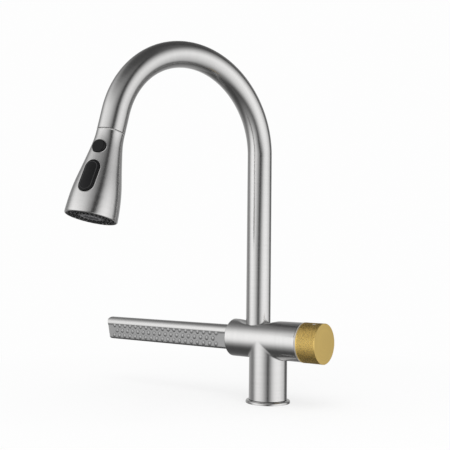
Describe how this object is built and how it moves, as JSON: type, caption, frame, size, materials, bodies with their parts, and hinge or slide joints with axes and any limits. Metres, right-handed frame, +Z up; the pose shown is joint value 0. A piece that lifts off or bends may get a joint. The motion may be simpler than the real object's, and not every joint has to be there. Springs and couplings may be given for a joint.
{
  "type": "pull-out kitchen faucet",
  "caption": "Deck-mounted kitchen faucet: swivelling gooseneck with pull-out spray head, a cross tube with a knurled gold knob, and a flat bumped outlet bar.",
  "frame": {"origin": "on the body pivot axis at the deck face, the underside of the deck ring", "axes": "+Z up the body, +X along the cross tube towards the knob, -Y towards the user"},
  "size_m": [0.3269, 0.2636, 0.3935],
  "materials": {
    "brushed_steel": "fine brushed satin",
    "ring_steel": "satin",
    "gold": "satin gold, knurled side",
    "trim_pale": "bright",
    "index_pale": "bright",
    "button_black": "fine matte",
    "face_dark": "matte",
    "nozzle_grey": "soft",
    "aerator_grey": "matte",
    "screen_steel": "woven wire",
    "seam_grey": "matte",
    "washer_dark": "matte",
    "rubber_black": "matte",
    "acetal_white": "smooth",
    "plastic_grey": "moulded",
    "valve_brass": "cast and turned",
    "spring_steel": "drawn wire",
    "screw_steel": "dark zinc",
    "ceramic": "polished ceramic",
    "hose_braid": "woven nylon"
  },
  "bodies": {
    "deck_base": {"deck_ring": "ring_steel", "deck_gasket": "rubber_black", "pivot_spindle": "valve_brass", "pivot_clip": "spring_steel", "thrust_washer": "washer_dark"},
    "valve_body": {"swivel_bush": "acetal_white", "body_shell": "brushed_steel", "valve_core": "valve_brass", "spout_set_screw": "screw_steel", "spout_thrust_ring": "acetal_white", "bar_collar": "acetal_white", "cartridge_seal": "rubber_black", "cartridge_base": "acetal_white", "cartridge_housing": "acetal_white", "fixed_disc": "ceramic", "cartridge_nut": "valve_brass", "trim_ring": "trim_pale"},
    "spout": {"gooseneck": "brushed_steel", "spout_foot": "valve_brass", "spout_o_rings": "rubber_black", "dock_collar": "plastic_grey"},
    "hose_end": {"hose_tail": "hose_braid", "hose_ferrule": "ring_steel"},
    "spray_head": {"hose_fitting": "valve_brass", "hose_washer": "rubber_black", "neck_ring": "seam_grey", "head_shell": "brushed_steel", "head_core": "plastic_grey", "check_valve_cage": "acetal_white", "check_valve_spring": "spring_steel", "pause_spring": "spring_steel", "rocker_pin": "screw_steel", "core_seal": "rubber_black", "nozzle_mat": "nozzle_grey", "face_plate": "face_dark", "aerator": "aerator_grey", "aerator_screen": "screen_steel"},
    "check_poppet": {"check_valve_poppet": "acetal_white"},
    "pause_button": {"pause_button": "button_black"},
    "rocker": {"rocker_button": "button_black"},
    "spool": {"diverter_spool": "acetal_white", "spool_o_rings": "rubber_black"},
    "knob": {"moving_disc": "ceramic", "valve_stem": "valve_brass", "stem_o_ring": "rubber_black", "knob_adapter": "acetal_white", "knob_grub_screw": "screw_steel", "knob": "gold", "index_dot": "index_pale"},
    "outlet_bar": {"outlet_bar": "brushed_steel", "bar_hub": "ring_steel", "bar_o_rings": "rubber_black", "bar_clip": "spring_steel"}
  },
  "joints": [
    {"name": "body_swivel", "type": "hinge", "parent": "deck_base", "child": "valve_body", "pos_m": [0, 0, 0.015], "axis": [0, 0, 1], "range_deg": [-90, 90]},
    {"name": "spout_swivel", "type": "hinge", "parent": "valve_body", "child": "spout", "pos_m": [-0.014, 0, 0.08], "axis": [0, 0, 1], "range_deg": [-180, 180]},
    {"name": "bar_turn", "type": "hinge", "parent": "valve_body", "child": "outlet_bar", "pos_m": [-0.04, 0, 0.07], "axis": [1, 0, 0], "range_deg": [-45, 45]},
    {"name": "knob_turn", "type": "hinge", "parent": "valve_body", "child": "knob", "pos_m": [0.05, 0, 0.07], "axis": [1, 0, 0], "range_deg": [-100, 100]},
    {"name": "head_pull", "type": "slide", "parent": "spout", "child": "hose_end", "axis": [-0.0506, -0.2192, -0.9744], "range_m": [0, 0.15]},
    {"name": "head_spin", "type": "hinge", "parent": "hose_end", "child": "spray_head", "pos_m": [-0.05833, -0.19201, 0.29195], "axis": [-0.0506, -0.2192, -0.9744], "range_deg": [-180, 180]},
    {"name": "pause_press", "type": "slide", "parent": "spray_head", "child": "pause_button", "axis": [-0.3337, 0.9232, -0.1904], "range_m": [0, 0.0018], "stiffness_N_per_m": 1000, "springref_m": -0.001, "deforming": ["pause_spring"]},
    {"name": "rocker_tilt", "type": "hinge", "parent": "spray_head", "child": "rocker", "pos_m": [-0.05603, -0.22065, 0.23464], "axis": [-0.9413, -0.3156, 0.1199], "range_deg": [-4, 4]},
    {"name": "spool_slide", "type": "slide", "parent": "spray_head", "child": "spool", "axis": [-0.0506, -0.2192, -0.9744], "range_m": [-0.00074, 0.00074]},
    {"name": "poppet_lift", "type": "slide", "parent": "spray_head", "child": "check_poppet", "axis": [-0.0506, -0.2192, -0.9744], "range_m": [0, 0.0012], "stiffness_N_per_m": 200, "springref_m": -0.001, "deforming": ["check_valve_spring"]}
  ],
  "couplings": [
    {"joint": "spool_slide", "follows": "rocker_tilt", "m_per_rad": 0.0105}
  ]
}
